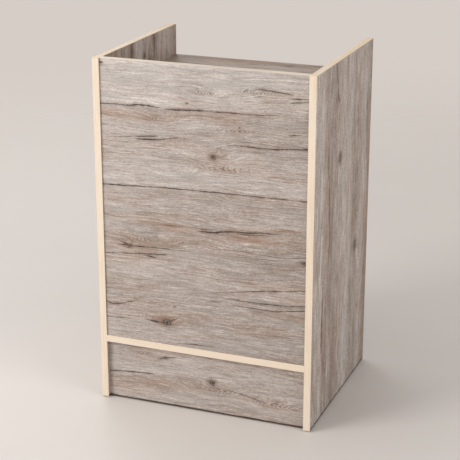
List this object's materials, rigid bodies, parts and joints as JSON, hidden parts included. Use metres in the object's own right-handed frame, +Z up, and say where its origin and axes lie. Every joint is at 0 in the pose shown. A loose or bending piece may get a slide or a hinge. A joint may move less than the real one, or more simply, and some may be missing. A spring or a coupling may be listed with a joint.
{
  "type": "cash register stand",
  "caption": "Open-backed cash register stand in laminated board: sunken register deck, full front panel, kick plate, pale edge bands and a loose shelf on pins.",
  "frame": {"origin": "on the floor, under the middle of the footprint", "axes": "+Z up; the customer's closed front faces -Y and the open back, where the cashier stands, faces +Y; +X is to the right of someone facing the front"},
  "size_m": [0.61, 0.508, 0.965],
  "materials": {
    "laminated_board": "textured wood-grain laminate on chipboard",
    "edge_band": "pale maple edge band",
    "cast_zinc": "die-cast zinc",
    "bolt_steel": "zinc-plated steel",
    "dowel_beech": "turned beech",
    "pin_nickel": "nickel plate",
    "glide_nylon": "moulded nylon",
    "nail_steel": "bright steel"
  },
  "bodies": {
    "carcass": {"left_side_panel": "laminated_board", "right_side_panel": "laminated_board", "front_panel": "laminated_board", "register_deck": "laminated_board", "bottom_deck": "laminated_board", "kick_plate": "laminated_board", "rear_kick_plate": "laminated_board", "left_front_band": "edge_band", "right_front_band": "edge_band", "left_top_band": "edge_band", "right_top_band": "edge_band", "left_rear_band": "edge_band", "right_rear_band": "edge_band", "front_panel_top_band": "edge_band", "register_deck_rear_band": "edge_band", "bottom_deck_front_band": "edge_band", "bottom_deck_rear_band": "edge_band", "cam_locks": "cast_zinc", "cam_bolts": "bolt_steel", "wood_dowels": "dowel_beech", "shelf_pins": "pin_nickel", "floor_glides": "glide_nylon", "glide_nails": "nail_steel"},
    "shelf": {"adjustable_shelf": "laminated_board", "shelf_front_band": "edge_band", "shelf_rear_band": "edge_band"}
  },
  "joints": [
    {"name": "shelf_lift", "type": "slide", "parent": "carcass", "child": "shelf", "axis": [0, 0, 1], "range_m": [0, 0.31]}
  ]
}
